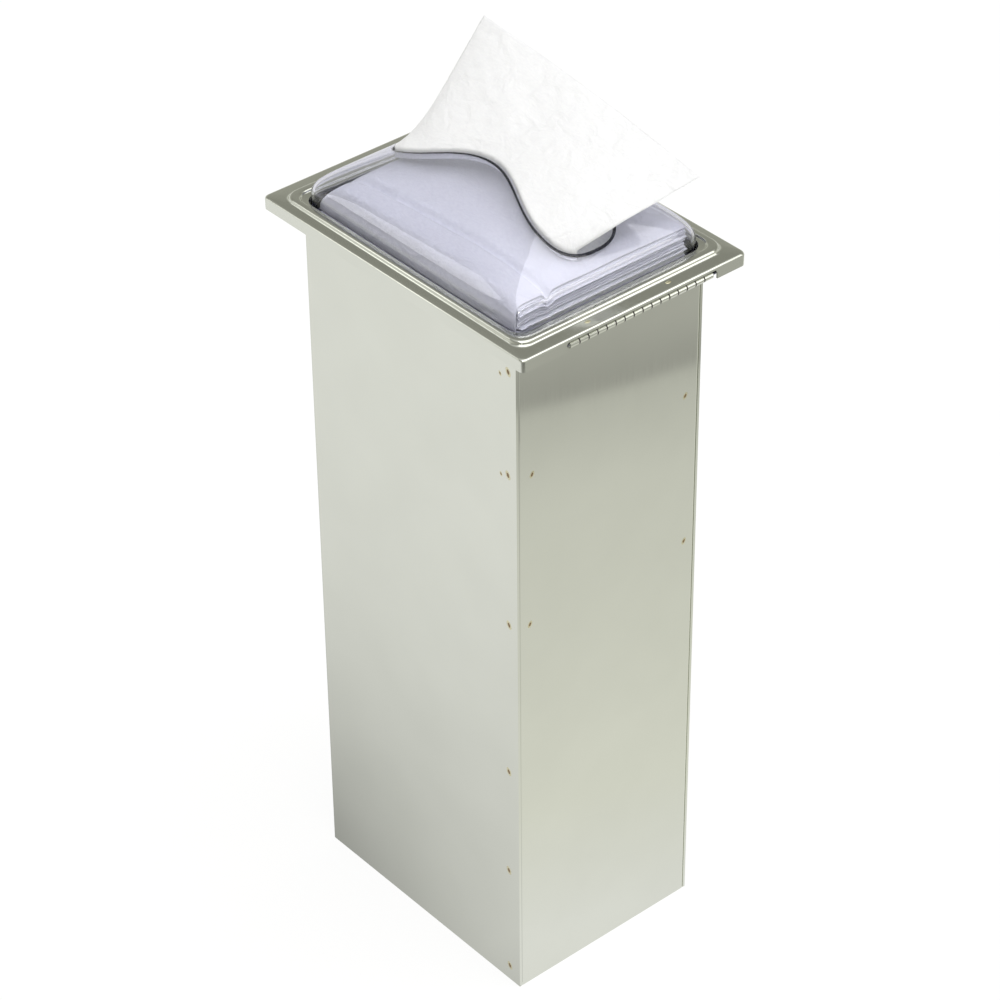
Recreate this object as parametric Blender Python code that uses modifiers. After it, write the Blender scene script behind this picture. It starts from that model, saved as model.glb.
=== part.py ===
"""In-counter napkin dispenser: a deep sheet-steel housing, a hinged cover frame with a clear dome,
and a spring-lifted follower that presses a stack of folded napkins up against the dome.

Frame: metres, +Z up, origin at the bottom centre of the housing. The long side runs along X,
the cover's hinge runs along Y on the +X side.
"""

import math

import bmesh
import bpy
from mathutils import Matrix, Vector

MM = 0.001
CLEARANCE = 0.3 * MM

# Housing
BODY_LENGTH = 178 * MM
BODY_WIDTH = 134 * MM
SHEET = 0.9 * MM
WALL_TOP = 455.5 * MM
CORNER_RADIUS = 1.6 * MM
COUNTER_PLANE = 455.8 * MM
COLLAR_BOTTOM = 446 * MM
COUNTER_FLANGE_HALF_X = 104.4 * MM
COUNTER_FLANGE_HALF_Y = 77.5 * MM
RETURN_DEPTH = 13 * MM
PAN_RIM = 12 * MM

# Cover
COVER_TOP = 464 * MM
COVER_HALF_X = 109 * MM
COVER_HALF_Y = 79.5 * MM
LIP_BOTTOM = 456.4 * MM
BEAD_RISE = 2.4 * MM
HEM_RISE = 1.0 * MM
RETAINER_SHEET = 1.0 * MM

# Clear dome
DOME_HALF_X = 90 * MM
DOME_HALF_Y = 66 * MM
DOME_BASE = 466 * MM
DOME_WALL = 2.0 * MM
DOME_SHOULDER = 16 * MM
DOME_CROWN = 24 * MM
DOME_RIM_TOP = COVER_TOP - SHEET - CLEARANCE
DOME_RIM_HALF_X = 98 * MM
DOME_RIM_HALF_Y = 73 * MM
RETAINER_TOP = DOME_RIM_TOP - DOME_WALL - CLEARANCE

# Dispensing slot, symmetric about X and Y: a narrow neck between two round lobes
SLOT_NECK = 6 * MM
SLOT_LOBE = 21.7 * MM
SLOT_LOBE_X = 57 * MM
SLOT_END_X = 76 * MM
SLOT_CORNER_POWER = 2.6
SLOT_CUT_LOW = 470 * MM
SLOT_CUT_HIGH = 515 * MM

# Hinge
HINGE_X = 107.1 * MM
HINGE_Z = 458.9 * MM
HINGE_CENTRE_Y = 4.5 * MM
HINGE_LENGTH = 101.6 * MM
KNUCKLES = 16
BARREL_RADIUS = 1.9 * MM
PIN_RADIUS = 1.0 * MM
BARREL_BORE = 1.06 * MM
LEAF = 0.8 * MM
LEAF_INNER_X = 99.8 * MM
LEAF_JOGGLE_X = 104.6 * MM
HINGE_NOTCH = 107.2 * MM
HINGE_NOTCH_X = 104.4 * MM
HINGE_NOTCH_TOP = 462 * MM

# Fasteners of the dome: welded studs and nuts
STUD_RADIUS = 1.5 * MM
STUD_HOLE_RADIUS = 1.8 * MM
NUT_RADIUS = 3.0 * MM
NUT_HEIGHT = 1.8 * MM
STUD_BOTTOM = 457.2 * MM
STUD_PLACES = [(-52, -69.9), (52, -69.9), (-52, 69.9), (52, 69.9), (-94.3, 0), (94.3, 0)]

# Napkins: folded size, and the levels between which the stack stands
NAPKIN_LENGTH = 165 * MM
NAPKIN_WIDTH = 121 * MM
STACK_TOP = 460 * MM
CROWN_TOP = 488 * MM

# Follower and its spring
FOLLOWER_HALF_X = 85.5 * MM
FOLLOWER_HALF_Y = 62.6 * MM
FOLLOWER_TOP = 50.9 * MM
FOLLOWER_SHEET = 1.0 * MM
SKIRT_BOTTOM = 38 * MM
SPRING_RADIUS = 25 * MM
SPRING_WIRE = 0.9 * MM
SPRING_TURNS = 12
SPRING_BOTTOM = 3.5 * MM
SPRING_TOP = 47.4 * MM
CUP_RADIUS = 29 * MM
CUP_SHEET = 1.0 * MM
LOWER_CUP_RIM = 9 * MM
UPPER_CUP_DEPTH = 8 * MM

# Nylon glide pads on the follower's skirt, facing the long walls
GLIDE_X = 60 * MM
GLIDE_LENGTH = 16 * MM
GLIDE_BOTTOM = 39 * MM
GLIDE_TOP = 48 * MM

# Catch: a bracket under the dome's retainer and a spring tongue hanging from it
CATCH_X = -85.2 * MM
CATCH_Y = 17 * MM
CATCH_TOP = 458.1 * MM
TONGUE_WIDTH = 14 * MM
TONGUE_THICKNESS = 0.5 * MM
BRACKET_WIDTH = 18 * MM
BRACKET_THICKNESS = 0.8 * MM
BRACKET_TOP = 459.2 * MM
BRACKET_OUTER_X = -93 * MM
BRACKET_INNER_X = -83.6 * MM

# The napkin that stands in the slot: its sheet leans back above the dome
TISSUE = 0.8 * MM
TISSUE_BELOW_DOME = 6 * MM
TISSUE_ABOVE_DOME = 3 * MM
TISSUE_SLOT_X = 74 * MM
TISSUE_TOP_LEFT = Vector((-62, 38, 553)) * MM
TISSUE_TOP_RIGHT = Vector((97, 55, 515)) * MM
TISSUE_Y = 1.6 * MM
TISSUE_BOW = 7 * MM


def clear_scene():
    for obj in list(bpy.data.objects):
        bpy.data.objects.remove(obj, do_unlink=True)


def collection(name):
    group = bpy.data.collections.new(name)
    bpy.context.scene.collection.children.link(group)
    return group


def material(name, colour, roughness, metallic=0.0, transmission=0.0):
    finish = bpy.data.materials.get(name)
    if finish is None:
        finish = bpy.data.materials.new(name)
        finish.use_nodes = True
        shader = finish.node_tree.nodes["Principled BSDF"]
        shader.inputs["Base Color"].default_value = (*colour, 1.0)
        shader.inputs["Roughness"].default_value = roughness
        shader.inputs["Metallic"].default_value = metallic
        shader.inputs["Transmission Weight"].default_value = transmission
    return finish


def steel():
    return material("stainless_steel", (0.62, 0.62, 0.58), 0.32, metallic=1.0)


def plated_steel():
    return material("plated_steel", (0.68, 0.68, 0.70), 0.25, metallic=1.0)


def clear_plastic():
    return material("clear_polycarbonate", (0.85, 0.87, 0.95), 0.05, transmission=0.9)


def nylon():
    return material("natural_nylon", (0.80, 0.79, 0.74), 0.45)


def tissue_paper():
    return material("tissue_paper", (0.93, 0.93, 0.93), 0.95)


def link_object(name, data, finish, group, parent=None):
    data.materials.append(finish)
    obj = bpy.data.objects.new(name, data)
    group.objects.link(obj)
    if parent is not None:
        obj.parent = parent
        obj.matrix_parent_inverse = parent.matrix_world.inverted()
    return obj


def link_mesh(name, bm, finish, group, parent=None):
    mesh = bpy.data.meshes.new(name)
    bm.to_mesh(mesh)
    bm.free()
    return link_object(name, mesh, finish, group, parent)


def add_object(name, bm, finish, group, parent=None):
    """A piece from a closed mesh, with its faces turned outwards."""
    bmesh.ops.recalc_face_normals(bm, faces=bm.faces)
    return link_mesh(name, bm, finish, group, parent)


def add_empty(name, place, group, parent=None):
    empty = bpy.data.objects.new(name, None)
    empty.empty_display_size = 0.02
    empty.location = place
    group.objects.link(empty)
    if parent is not None:
        empty.parent = parent
    bpy.context.view_layer.update()
    return empty


def solidify(obj, thickness, offset=-1.0):
    shell = obj.modifiers.new("Shell", "SOLIDIFY")
    shell.thickness = thickness
    shell.offset = offset
    shell.use_even_offset = True


def cut(obj, cutter, operation="DIFFERENCE"):
    boolean = obj.modifiers.new(cutter.name, "BOOLEAN")
    boolean.operation = operation
    boolean.object = cutter
    boolean.solver = "EXACT"


def add_cutter(name, bm, cutters):
    cutter = add_object(name, bm, steel(), cutters)
    cutter.hide_render = True
    cutter.display_type = "WIRE"
    return cutter


def box(low, high):
    bm = bmesh.new()
    add_box(bm, low, high)
    return bm


def add_box(bm, low, high):
    size = Vector(high) - Vector(low)
    middle = (Vector(high) + Vector(low)) / 2
    place = Matrix.Translation(middle) @ Matrix.Diagonal((*size, 1.0))
    bmesh.ops.create_cube(bm, size=1.0, matrix=place)


def add_cylinder(bm, centre, radius, depth, segments=24, turn=None):
    place = Matrix.Translation(centre)
    if turn is not None:
        place = place @ turn
    bmesh.ops.create_cone(bm, cap_ends=True, segments=segments, radius1=radius, radius2=radius,
                          depth=depth, matrix=place)


def rounded_rectangle(half_x, half_y, radius, steps=4):
    """Points of a rounded rectangle, counter-clockwise seen from above."""
    points = []
    for quarter, (sx, sy) in enumerate([(1, 1), (-1, 1), (-1, -1), (1, -1)]):
        for step in range(steps + 1):
            angle = (quarter + step / steps) * math.pi / 2
            points.append((sx * (half_x - radius) + radius * math.cos(angle),
                           sy * (half_y - radius) + radius * math.sin(angle)))
    return points


def ring(half_x, half_y, radius, z, steps=4):
    return [(x, y, z) for x, y in rounded_rectangle(half_x, half_y, radius, steps)]


def superellipse_ring(half_x, half_y, power, z, per_side=12):
    """A ring that is nearly a rectangle for a high power, with points spread along its sides."""
    corners = [(1, -1), (1, 1), (-1, 1), (-1, -1)]
    points = []
    for side in range(4):
        (x0, y0), (x1, y1) = corners[side], corners[(side + 1) % 4]
        for step in range(per_side):
            share = step / per_side
            x, y = x0 + (x1 - x0) * share, y0 + (y1 - y0) * share
            reach = (abs(x) ** power + abs(y) ** power) ** (1 / power)
            points.append((half_x * x / reach, half_y * y / reach, z))
    return points


def loft(rings, cap_start=False, cap_end=False):
    """A skin over closed rings; from the outer lower ring to the inner upper one it faces out."""
    bm = bmesh.new()
    loops = [[bm.verts.new(point) for point in points] for points in rings]
    count = len(loops[0])
    for lower, upper in zip(loops, loops[1:]):
        for i in range(count):
            j = (i + 1) % count
            bm.faces.new((lower[i], lower[j], upper[j], upper[i]))
    if cap_start:
        bm.faces.new(reversed(loops[0]))
    if cap_end:
        bm.faces.new(loops[-1])
    return bm


def add_sheet(name, rings, finish, group, parent, thickness=SHEET, cap_start=False, cap_end=False):
    """A sheet piece: the lofted skin is its outer face, and the thickness lies behind it."""
    obj = link_mesh(name, loft(rings, cap_start, cap_end), finish, group, parent)
    solidify(obj, thickness)
    return obj


def prism(outline, low, high):
    """A closed solid standing on a flat outline in X and Y."""
    bm = bmesh.new()
    face = bm.faces.new([bm.verts.new((x, y, low)) for x, y in outline])
    extruded = bmesh.ops.extrude_face_region(bm, geom=[face])
    risen = [item for item in extruded["geom"] if isinstance(item, bmesh.types.BMVert)]
    bmesh.ops.translate(bm, verts=risen, vec=(0, 0, high - low))
    return bm


def bent_strip(path, thickness, low, high):
    """A sheet that stands on a path in plan, with its outer face on the path's right-hand side."""
    offsets = []
    for i, (x, y) in enumerate(path):
        before = Vector(path[max(i - 1, 0)])
        after = Vector(path[min(i + 1, len(path) - 1)])
        along = (after - before).normalized()
        offsets.append((x - along.y * thickness, y + along.x * thickness))
    return prism(list(path) + offsets[::-1], low, high)


def corner_arc(centre, radius, start, end, steps=4):
    angles = [math.radians(start + (end - start) * step / steps) for step in range(steps + 1)]
    return [(centre[0] + radius * math.cos(a), centre[1] + radius * math.sin(a)) for a in angles]


def build_housing_wrap(group, parent):
    """One sheet bent round three sides: -Y, -X and +Y."""
    half_x, half_y, r = BODY_LENGTH / 2, BODY_WIDTH / 2, CORNER_RADIUS
    path = [(half_x, half_y)]
    path += corner_arc((-half_x + r, half_y - r), r, 90, 180)
    path += corner_arc((-half_x + r, -half_y + r), r, 180, 270)
    path += [(half_x, -half_y)]
    return add_object("housing_wrap", bent_strip(path, SHEET, 0, WALL_TOP), steel(), group, parent)


def build_hinge_side_panel(group, cutters, parent):
    """The +X wall, whose two return flanges are spot-welded inside the wrap.

    The flanges stop short of the bottom pan's rim and of the collar.
    """
    half_x = BODY_LENGTH / 2
    half_y = BODY_WIDTH / 2 - SHEET - CLEARANCE
    return_end, r = half_x - RETURN_DEPTH, CORNER_RADIUS
    path = [(return_end, -half_y)]
    path += corner_arc((half_x - r, -half_y + r), r, 270, 360)
    path += corner_arc((half_x - r, half_y - r), r, 0, 90)
    path += [(return_end, half_y)]
    panel = add_object("hinge_side_panel", bent_strip(path, SHEET, 0, WALL_TOP), steel(), group,
                       parent)
    inner = half_x - SHEET - CLEARANCE / 3
    trim = bmesh.new()
    add_box(trim, (return_end - 2 * MM, -half_y - 1 * MM, -2 * MM),
            (inner, half_y + 1 * MM, PAN_RIM + 2 * MM))
    add_box(trim, (return_end - 2 * MM, -half_y - 1 * MM, COLLAR_BOTTOM - 2 * MM),
            (inner, half_y + 1 * MM, WALL_TOP + 2 * MM))
    cut(panel, add_cutter("return_trim_cutter", trim, cutters))
    return panel


def build_bottom_pan(group, parent):
    gap = SHEET + CLEARANCE
    half_x, half_y = BODY_LENGTH / 2 - gap, BODY_WIDTH / 2 - gap
    bend = 1.5 * MM
    rings = [ring(half_x - bend, half_y - bend, 1.5 * MM, 0),
             ring(half_x - bend * 0.3, half_y - bend * 0.3, 1.8 * MM, bend * 0.3),
             ring(half_x, half_y, 2.0 * MM, bend),
             ring(half_x, half_y, 2.0 * MM, PAN_RIM)]
    return add_sheet("bottom_pan", rings, steel(), group, parent, cap_start=True)


def build_counter_flange(group, parent):
    """The rim that rests on the counter, with a collar that hangs inside the walls."""
    top = COUNTER_PLANE + SHEET
    gap = SHEET + CLEARANCE + SHEET
    half_x, half_y = BODY_LENGTH / 2 - gap, BODY_WIDTH / 2 - gap
    bend = 1.6 * MM
    past_wall = 1.2 * MM
    rings = [ring(COUNTER_FLANGE_HALF_X, COUNTER_FLANGE_HALF_Y, 3 * MM, top),
             ring(BODY_LENGTH / 2 + past_wall, BODY_WIDTH / 2 + past_wall, 3.8 * MM, top),
             ring(half_x + bend, half_y + bend, 3.4 * MM, top),
             ring(half_x + bend * 0.3, half_y + bend * 0.3, 2.3 * MM, top - bend * 0.3),
             ring(half_x, half_y, 2 * MM, top - bend),
             ring(half_x, half_y, 2 * MM, COLLAR_BOTTOM)]
    return add_sheet("counter_flange", rings, steel(), group, parent)


def dome_height(share):
    """Rise of the dome's outer face over its base, from 1 at the foot to 0 at the crown."""
    shoulder = DOME_SHOULDER * (1 - share ** 4.7) ** 0.25
    return shoulder + DOME_CROWN * (1 - share ** 2) ** 1.4


def dome_power(share):
    """The rings go from nearly rectangular at the foot to nearly elliptical at the crown."""
    return 2.6 + 14 * share ** 6


def dome_surface(x, y):
    """Height of the dome's outer face over the point (x, y)."""
    share = 0.5
    for _ in range(30):
        power = dome_power(share)
        reach = (abs(x / DOME_HALF_X) ** power + abs(y / DOME_HALF_Y) ** power) ** (1 / power)
        share = (share + min(reach, 1.0)) / 2
    return DOME_BASE + dome_height(share)


def dome_rings():
    shares = [1.0, 0.9995, 0.995, 0.98, 0.95, 0.90, 0.83, 0.74, 0.63, 0.50, 0.35, 0.20, 0.07]
    rings = []
    for share in shares:
        rings.append(superellipse_ring(DOME_HALF_X * share, DOME_HALF_Y * share,
                                       dome_power(share), DOME_BASE + dome_height(share)))
    return rings


def slot_half_width(x):
    """Half the slot's width in Y, at a distance x from its middle."""
    x = abs(x)
    if x <= SLOT_LOBE_X:
        swell = (1 - math.cos(math.pi * x / SLOT_LOBE_X)) / 2
        return SLOT_NECK + (SLOT_LOBE - SLOT_NECK) * swell
    share = min((x - SLOT_LOBE_X) / (SLOT_END_X - SLOT_LOBE_X), 1.0)
    return SLOT_LOBE * (1 - share ** SLOT_CORNER_POWER) ** (1 / SLOT_CORNER_POWER)


def slot_outline():
    lobe_steps, corner_steps = 8, 6
    quarter = [(SLOT_LOBE_X * i / lobe_steps, slot_half_width(SLOT_LOBE_X * i / lobe_steps))
               for i in range(lobe_steps)]
    for i in range(corner_steps):
        angle = math.pi / 2 * i / corner_steps
        x = SLOT_LOBE_X + (SLOT_END_X - SLOT_LOBE_X) * math.sin(angle)
        quarter.append((x, slot_half_width(x)))
    tip = [(SLOT_END_X, 0.0)]
    right = quarter + tip + [(x, -y) for x, y in reversed(quarter)]
    left = [(-x, -y) for x, y in quarter[1:]] + [(-SLOT_END_X, 0.0)]
    left += [(-x, y) for x, y in reversed(quarter[1:])]
    return (right + left)[::-1]


def build_dome(group, cutters, parent):
    rim = [superellipse_ring(DOME_RIM_HALF_X, DOME_RIM_HALF_Y, 18, DOME_RIM_TOP),
           superellipse_ring(DOME_HALF_X + 1 * MM, DOME_HALF_Y + 1 * MM, 16.6, DOME_RIM_TOP),
           superellipse_ring(DOME_HALF_X, DOME_HALF_Y, 16.6, DOME_RIM_TOP + 1 * MM)]
    dome = add_sheet("dome_window", rim + dome_rings(), clear_plastic(), group, parent,
                     thickness=DOME_WALL, cap_end=True)
    slot = add_cutter("slot_cutter", prism(slot_outline(), SLOT_CUT_LOW, SLOT_CUT_HIGH), cutters)
    cut(dome, slot)
    cut(dome, bpy.data.objects["stud_hole_cutter"])
    return dome


def build_cover_frame(group, cutters, parent):
    """Top frame: an outer lip, a flat margin, a raised bead, and a low hem against the dome.

    Each station is how far in from the frame's edge it lies along X and along Y, its height
    above the margin, and its corner radius, all in millimetres.
    """
    bead, hem = BEAD_RISE / MM, HEM_RISE / MM
    stations = [(0.0, 0.0, (LIP_BOTTOM - COVER_TOP) / MM, 3.0),
                (0.0, 0.0, -1.6, 3.0),
                (0.5, 0.5, -0.5, 2.6),
                (1.6, 1.6, 0.0, 2.2),
                (9.4, 6.5, 0.0, 8.5),
                (10.3, 7.1, bead - 0.5, 8.5),
                (11.0, 7.6, bead, 8.5),
                (14.1, 10.0, bead, 8.5),
                (14.8, 10.5, bead - 0.5, 8.5),
                (15.5, 11.0, hem, 8.5),
                (17.6, 12.1, hem, 9.0),
                (18.4, 12.9, hem - 0.6, 9.5),
                (18.5, 13.0, -0.6, 9.5)]
    rings = [ring(COVER_HALF_X - x * MM, COVER_HALF_Y - y * MM, radius * MM, COVER_TOP + z * MM)
             for x, y, z, radius in stations]
    frame = add_sheet("cover_frame", rings, steel(), group, parent)
    half = HINGE_NOTCH / 2
    low = (HINGE_NOTCH_X, HINGE_CENTRE_Y - half, LIP_BOTTOM - 2 * MM)
    high = (COVER_HALF_X + 3 * MM, HINGE_CENTRE_Y + half, HINGE_NOTCH_TOP)
    cut(frame, add_cutter("hinge_notch_cutter", box(low, high), cutters))
    return frame


def build_dome_retainer(group, parent):
    """A flat steel ring under the dome's rim, open where the dome's wall rises."""
    inset = 1.6 * MM
    rings = [ring(DOME_RIM_HALF_X, DOME_RIM_HALF_Y, 6 * MM, RETAINER_TOP),
             ring(DOME_HALF_X - inset, DOME_HALF_Y - inset, 8 * MM, RETAINER_TOP)]
    retainer = add_sheet("dome_retainer", rings, steel(), group, parent,
                         thickness=RETAINER_SHEET)
    cut(retainer, bpy.data.objects["stud_hole_cutter"])
    return retainer


def build_stud_holes(cutters):
    bm = bmesh.new()
    for x, y in STUD_PLACES:
        add_cylinder(bm, (x * MM, y * MM, RETAINER_TOP), STUD_HOLE_RADIUS, 8 * MM, segments=16)
    return add_cutter("stud_hole_cutter", bm, cutters)


def build_studs(group, cutters, parent):
    """Six studs welded under the frame, each with a nut under the retainer."""
    nut_top = RETAINER_TOP - RETAINER_SHEET - CLEARANCE
    stud_middle = (DOME_RIM_TOP + STUD_BOTTOM) / 2
    for number, (x, y) in enumerate(STUD_PLACES, 1):
        bm = bmesh.new()
        add_cylinder(bm, (x * MM, y * MM, stud_middle), STUD_RADIUS, DOME_RIM_TOP - STUD_BOTTOM, 16)
        add_object(f"weld_stud_{number}", bm, plated_steel(), group, parent)
        bm = bmesh.new()
        add_cylinder(bm, (x * MM, y * MM, nut_top - NUT_HEIGHT / 2), NUT_RADIUS, NUT_HEIGHT, 6)
        nut = add_object(f"stud_nut_{number}", bm, plated_steel(), group, parent)
        cut(nut, bpy.data.objects["stud_hole_cutter"])


def hinge_leaf_outline(leaf_z, inner_x, joggle_x):
    """Half-plane outline of a leaf in X and Z: it leaves the barrel at its side of the pin."""
    side = 1 if leaf_z > HINGE_Z else -1
    near = HINGE_Z + side * (BARREL_RADIUS - LEAF)
    far = HINGE_Z + side * BARREL_RADIUS
    start = HINGE_X
    if abs(leaf_z - far) < 0.05 * MM:
        return [(start, near), (inner_x, near), (inner_x, far), (start, far)]
    return [(start, near), (joggle_x, near), (joggle_x - 1.2 * MM, leaf_z - side * LEAF),
            (inner_x, leaf_z - side * LEAF), (inner_x, leaf_z), (joggle_x - 0.8 * MM, leaf_z),
            (joggle_x + 0.4 * MM, far), (start, far)]


def extrude_along_y(outline, y0, y1):
    """A closed solid from an outline in X and Z."""
    bm = bmesh.new()
    face = bm.faces.new([bm.verts.new((x, y0, z)) for x, z in outline])
    extruded = bmesh.ops.extrude_face_region(bm, geom=[face])
    moved = [item for item in extruded["geom"] if isinstance(item, bmesh.types.BMVert)]
    bmesh.ops.translate(bm, verts=moved, vec=(0, y1 - y0, 0))
    return bm


def along_y():
    return Matrix.Rotation(math.pi / 2, 4, "X")


def build_hinge_leaf(name, leaf_z, first_knuckle, group, cutters, parent):
    """A leaf whose knuckles are every other one of the row; the gaps between them are cut out."""
    y0 = HINGE_CENTRE_Y - HINGE_LENGTH / 2
    y1 = HINGE_CENTRE_Y + HINGE_LENGTH / 2
    outline = hinge_leaf_outline(leaf_z, LEAF_INNER_X, LEAF_JOGGLE_X)
    leaf = add_object(name, extrude_along_y(outline, y0, y1), steel(), group, parent)
    barrel_bm, bore_bm, comb_bm = bmesh.new(), bmesh.new(), bmesh.new()
    middle = (HINGE_X, HINGE_CENTRE_Y, HINGE_Z)
    add_cylinder(barrel_bm, middle, BARREL_RADIUS, HINGE_LENGTH, 16, along_y())
    add_cylinder(bore_bm, middle, BARREL_BORE, HINGE_LENGTH + 4 * MM, 16, along_y())
    pitch = HINGE_LENGTH / KNUCKLES
    reach = BARREL_RADIUS + 0.6 * MM
    for index in range(1 - first_knuckle, KNUCKLES, 2):
        start = y0 + index * pitch - CLEARANCE / 2
        end = start + pitch + CLEARANCE
        if index == 0:
            start -= 1 * MM
        if index == KNUCKLES - 1:
            end += 1 * MM
        low = (HINGE_X - reach, start, HINGE_Z - reach)
        high = (HINGE_X + reach, end, HINGE_Z + reach)
        add_box(comb_bm, low, high)
    barrel = add_cutter(name + "_barrel", barrel_bm, cutters)
    cut(leaf, barrel, "UNION")
    cut(leaf, add_cutter(name + "_comb", comb_bm, cutters))
    cut(leaf, add_cutter(name + "_bore", bore_bm, cutters))
    return leaf


def build_hinge_pin(group, parent):
    bm = bmesh.new()
    add_cylinder(bm, (HINGE_X, HINGE_CENTRE_Y, HINGE_Z), PIN_RADIUS, HINGE_LENGTH + 0.6 * MM, 16,
                 along_y())
    return add_object("hinge_pin", bm, plated_steel(), group, parent)


def turned(name, profile, finish, group, parent, steps=32):
    """A turned piece: the profile starts and ends on the axis and runs down its outer side."""
    bm = bmesh.new()
    points = [bm.verts.new((radius, 0, z)) for radius, z in profile]
    for a, b in zip(points, points[1:]):
        bm.edges.new((a, b))
    obj = link_mesh(name, bm, finish, group, parent)
    lathe = obj.modifiers.new("Lathe", "SCREW")
    lathe.steps = steps
    lathe.render_steps = steps
    lathe.use_merge_vertices = True
    lathe.merge_threshold = 0.00001
    return obj


def build_spring_cups(group, housing, follower):
    """Two shallow cups that hold the spring's ends, on the pan and under the follower."""
    base = SHEET + CLEARANCE
    inner = CUP_RADIUS - CUP_SHEET
    floor = SPRING_BOTTOM - SPRING_WIRE - CLEARANCE
    lower = [(0, floor), (inner, floor), (inner, LOWER_CUP_RIM),
             (CUP_RADIUS, LOWER_CUP_RIM), (CUP_RADIUS, base), (0, base)]
    turned("lower_spring_cup", lower, plated_steel(), group, housing)
    roof = SPRING_TOP + SPRING_WIRE + CLEARANCE
    top = FOLLOWER_TOP - FOLLOWER_SHEET - CLEARANCE
    upper = [(0, top), (CUP_RADIUS, top), (CUP_RADIUS, top - UPPER_CUP_DEPTH),
             (inner, top - UPPER_CUP_DEPTH), (inner, roof), (0, roof)]
    turned("upper_spring_cup", upper, plated_steel(), group, follower)


def build_follower_plate(group, parent):
    bend = 2 * MM
    rings = [ring(FOLLOWER_HALF_X, FOLLOWER_HALF_Y, 4 * MM, SKIRT_BOTTOM),
             ring(FOLLOWER_HALF_X, FOLLOWER_HALF_Y, 4 * MM, FOLLOWER_TOP - bend),
             ring(FOLLOWER_HALF_X - bend * 0.3, FOLLOWER_HALF_Y - bend * 0.3, 4 * MM,
                  FOLLOWER_TOP - bend * 0.3),
             ring(FOLLOWER_HALF_X - bend, FOLLOWER_HALF_Y - bend, 3 * MM, FOLLOWER_TOP)]
    return add_sheet("follower_plate", rings, steel(), group, parent,
                     thickness=FOLLOWER_SHEET, cap_end=True)


def build_glide_pads(group, parent):
    """Four nylon pads on the skirt's long sides, which slide along the -Y and +Y walls."""
    inner = FOLLOWER_HALF_Y + CLEARANCE
    outer = BODY_WIDTH / 2 - SHEET - CLEARANCE - SHEET - CLEARANCE
    places = [(sx * GLIDE_X, sy) for sx in (-1, 1) for sy in (-1, 1)]
    for number, (centre, side) in enumerate(places, 1):
        y0, y1 = sorted((side * inner, side * outer))
        pad = box((centre - GLIDE_LENGTH / 2, y0, GLIDE_BOTTOM),
                  (centre + GLIDE_LENGTH / 2, y1, GLIDE_TOP))
        add_object(f"glide_pad_{number}", pad, nylon(), group, parent)


def build_spring(group, parent):
    per_turn = 14
    total = SPRING_TURNS * per_turn
    curve = bpy.data.curves.new("follower_spring", "CURVE")
    curve.dimensions = "3D"
    curve.bevel_depth = SPRING_WIRE
    curve.bevel_resolution = 1
    curve.use_fill_caps = True
    spline = curve.splines.new("POLY")
    spline.points.add(total)
    for index in range(total + 1):
        angle = 2 * math.pi * index / per_turn
        z = SPRING_BOTTOM + (SPRING_TOP - SPRING_BOTTOM) * index / total
        spline.points[index].co = (SPRING_RADIUS * math.cos(angle), SPRING_RADIUS * math.sin(angle),
                                   z, 1)
    return link_object("follower_spring", curve, plated_steel(), group, parent)


def build_napkin_stack(group, parent):
    half_x, half_y = NAPKIN_LENGTH / 2, NAPKIN_WIDTH / 2
    rings = [ring(half_x, half_y, 2 * MM, FOLLOWER_TOP + CLEARANCE, 2),
             ring(half_x, half_y, 2 * MM, STACK_TOP, 2)]
    bm = loft(rings, cap_start=True, cap_end=True)
    return add_object("napkin_stack", bm, tissue_paper(), group, parent)


def build_top_napkins(group, parent):
    """The uppermost napkins, arched up against the dome by the follower."""
    half_x, half_y = NAPKIN_LENGTH / 2, NAPKIN_WIDTH / 2
    low = STACK_TOP + CLEARANCE
    rise = CROWN_TOP - STACK_TOP
    stations = [(1.0, 30, 0.20), (0.93, 12, 0.42), (0.78, 6, 0.62), (0.52, 4, 0.84), (0.25, 3, 1.0)]
    rings = [superellipse_ring(half_x, half_y, 30, low, 6)]
    for share, power, height in stations:
        rings.append(superellipse_ring(half_x * share, half_y * share, power,
                                       STACK_TOP + height * rise, 6))
    bm = loft(rings, cap_start=True, cap_end=True)
    return add_object("top_napkins", bm, tissue_paper(), group, parent)


def build_dispensed_napkin(group, parent):
    """A tissue sheet whose foot stands in the slot and whose upper edge leans back."""
    columns, foot_rows, free_rows = 24, 1, 8
    grid = []
    for column in range(columns + 1):
        share = column / columns
        x = TISSUE_SLOT_X * (2 * share - 1)
        y = TISSUE_Y - slot_half_width(x)
        surface = dome_surface(x, y)
        start = Vector((x, y, surface + TISSUE_ABOVE_DOME))
        edge = TISSUE_TOP_LEFT.lerp(TISSUE_TOP_RIGHT, share)
        line = [Vector((x, y, surface - TISSUE_BELOW_DOME))]
        for row in range(free_rows + 1):
            up = row / free_rows
            lean = start.lerp(edge, up)
            lean.y -= TISSUE_BOW * math.sin(math.pi * up)
            line.append(lean)
        grid.append(line)
    bm = bmesh.new()
    verts = [[bm.verts.new(point) for point in line] for line in grid]
    for left, right in zip(verts, verts[1:]):
        for row in range(foot_rows + free_rows):
            bm.faces.new((left[row], right[row], right[row + 1], left[row + 1]))
    napkin = add_object("dispensed_napkin", bm, tissue_paper(), group, parent)
    solidify(napkin, TISSUE, offset=0.0)
    return napkin


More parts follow.
